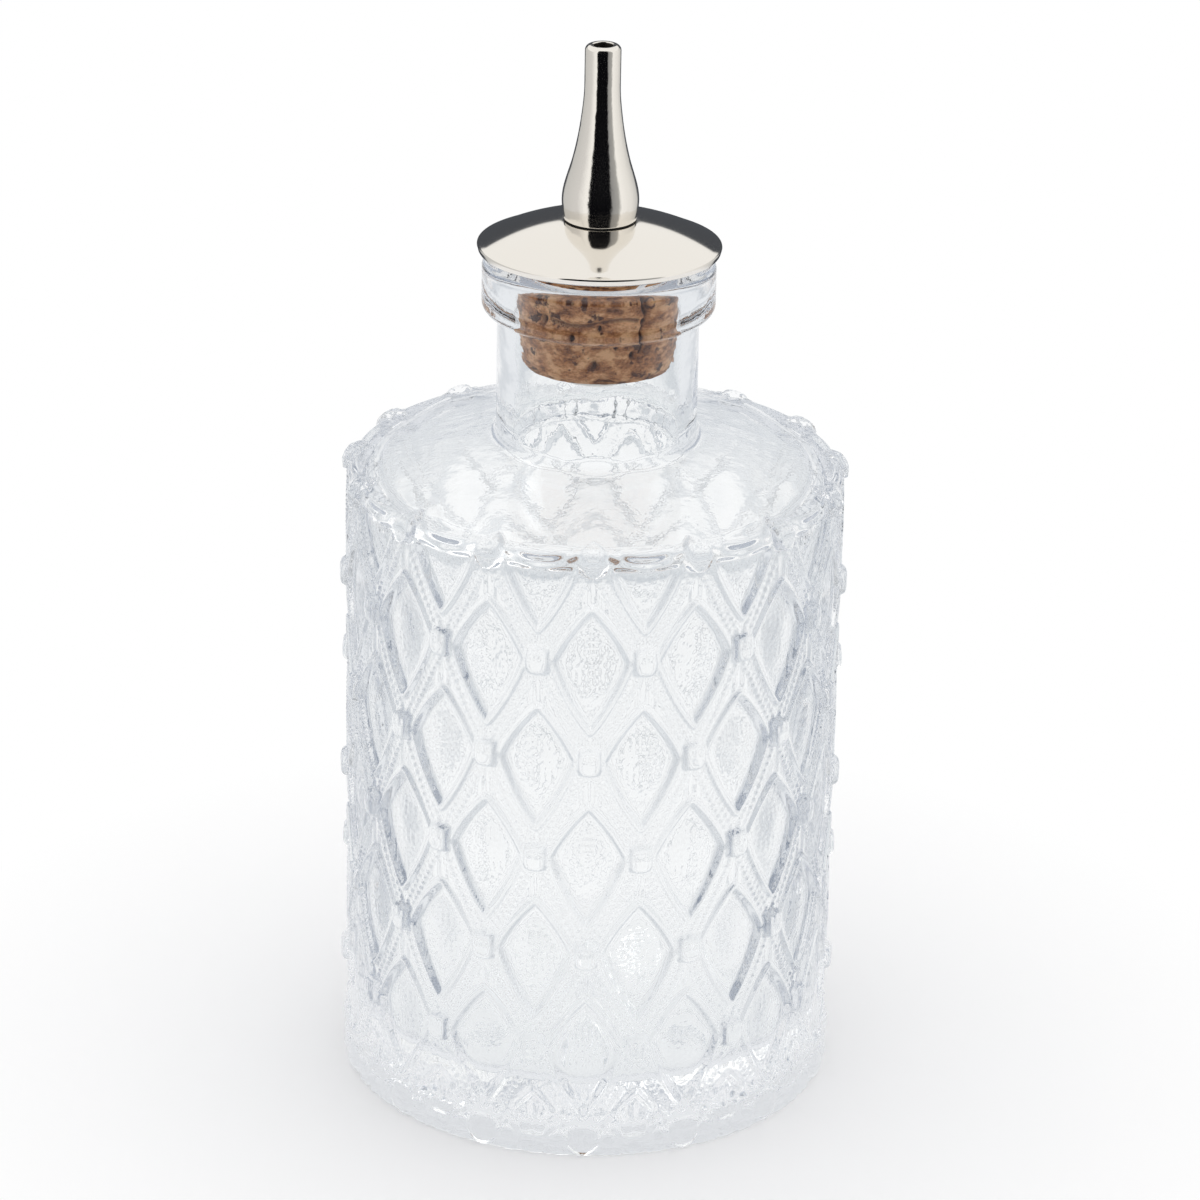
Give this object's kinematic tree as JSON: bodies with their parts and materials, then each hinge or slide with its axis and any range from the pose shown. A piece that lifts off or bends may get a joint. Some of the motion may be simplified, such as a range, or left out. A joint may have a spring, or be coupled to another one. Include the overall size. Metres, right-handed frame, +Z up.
{
  "type": "bitters bottle",
  "caption": "Small clear moulded-glass bottle with a diamond lattice relief and a lift-out cork stopper that carries a hollow metal dasher spout.",
  "frame": {"origin": "centre of the foot, on the surface that the bottle stands on", "axes": "+Z up along the axis of the bottle and its spout, with one column of beads facing -Y"},
  "size_m": [0.0578, 0.0574, 0.1216],
  "materials": {
    "clear_glass": "clear moulded glass with a sharp diamond relief",
    "natural_cork": "natural cork with dark pores",
    "stem_metal": "plain turned metal",
    "bright_metal": "polished bright nickel plating",
    "seal_rubber": "thin dark sealing ring"
  },
  "bodies": {
    "bottle": {"glass_bottle": "clear_glass"},
    "stopper": {"cork_stopper": "natural_cork", "stem_tube": "stem_metal", "cap_disc": "bright_metal"},
    "seal": {"spout_seal": "seal_rubber"},
    "spout": {"spout": "bright_metal"}
  },
  "joints": [
    {"name": "stopper_lift", "type": "slide", "parent": "bottle", "child": "stopper", "axis": [0, 0, 1], "range_m": [0, 0.03]},
    {"name": "spout_rise", "type": "slide", "parent": "stopper", "child": "seal", "axis": [0, 0, 1], "range_m": [0, 0.0042]},
    {"name": "spout_unscrew", "type": "hinge", "parent": "seal", "child": "spout", "pos_m": [0, 0, 0.10185], "axis": [0, 0, 1], "range_deg": [0, 2160]}
  ],
  "couplings": [
    {"joint": "spout_unscrew", "follows": "spout_rise", "rad_per_m": 8976}
  ]
}
